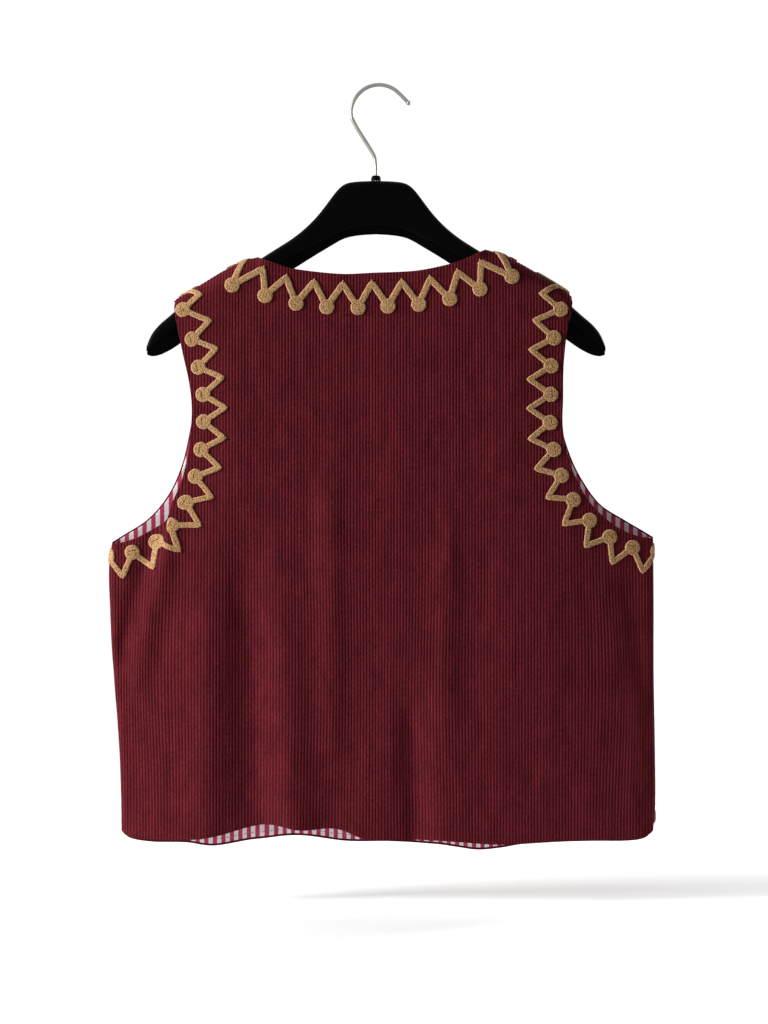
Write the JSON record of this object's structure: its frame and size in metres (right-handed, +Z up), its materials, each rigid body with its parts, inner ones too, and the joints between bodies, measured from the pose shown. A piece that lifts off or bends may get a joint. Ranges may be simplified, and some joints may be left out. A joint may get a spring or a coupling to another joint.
{
  "type": "corduroy vest on a hanger",
  "caption": "Sleeveless corduroy folk vest with a raised zigzag-and-dot border and a striped lining, hanging on a moulded hanger with a wire hook.",
  "frame": {"origin": "where the inside of the hook rests on a rod", "axes": "+Z up; the wearer's back faces -Y and the fronts face +Y; the wearer's right side is at +X"},
  "size_m": [0.5289, 0.057, 0.7406],
  "materials": {
    "corduroy": "burgundy wide-wale cotton corduroy, soft pile",
    "striped_lining": "plain-woven cotton, raspberry and white stripes",
    "border": "camel chain-stitch embroidery, raised",
    "hanger_plastic": "black moulded plastic, satin gloss",
    "hook_wire": "drawn steel wire"
  },
  "bodies": {
    "root": {"back": "corduroy", "front_left": "corduroy", "front_right": "corduroy", "back_lining": "striped_lining", "front_left_lining": "striped_lining", "front_right_lining": "striped_lining", "neck_border_back": "border", "neck_border_front_left": "border", "neck_border_front_right": "border", "armhole_border_back_left": "border", "armhole_border_back_right": "border", "armhole_border_front_left": "border", "armhole_border_front_right": "border", "hem_border_front_left": "border", "hem_border_front_right": "border", "hanger": "hanger_plastic", "hook_collar": "hanger_plastic", "hook": "hook_wire"}
  },
  "joints": []
}
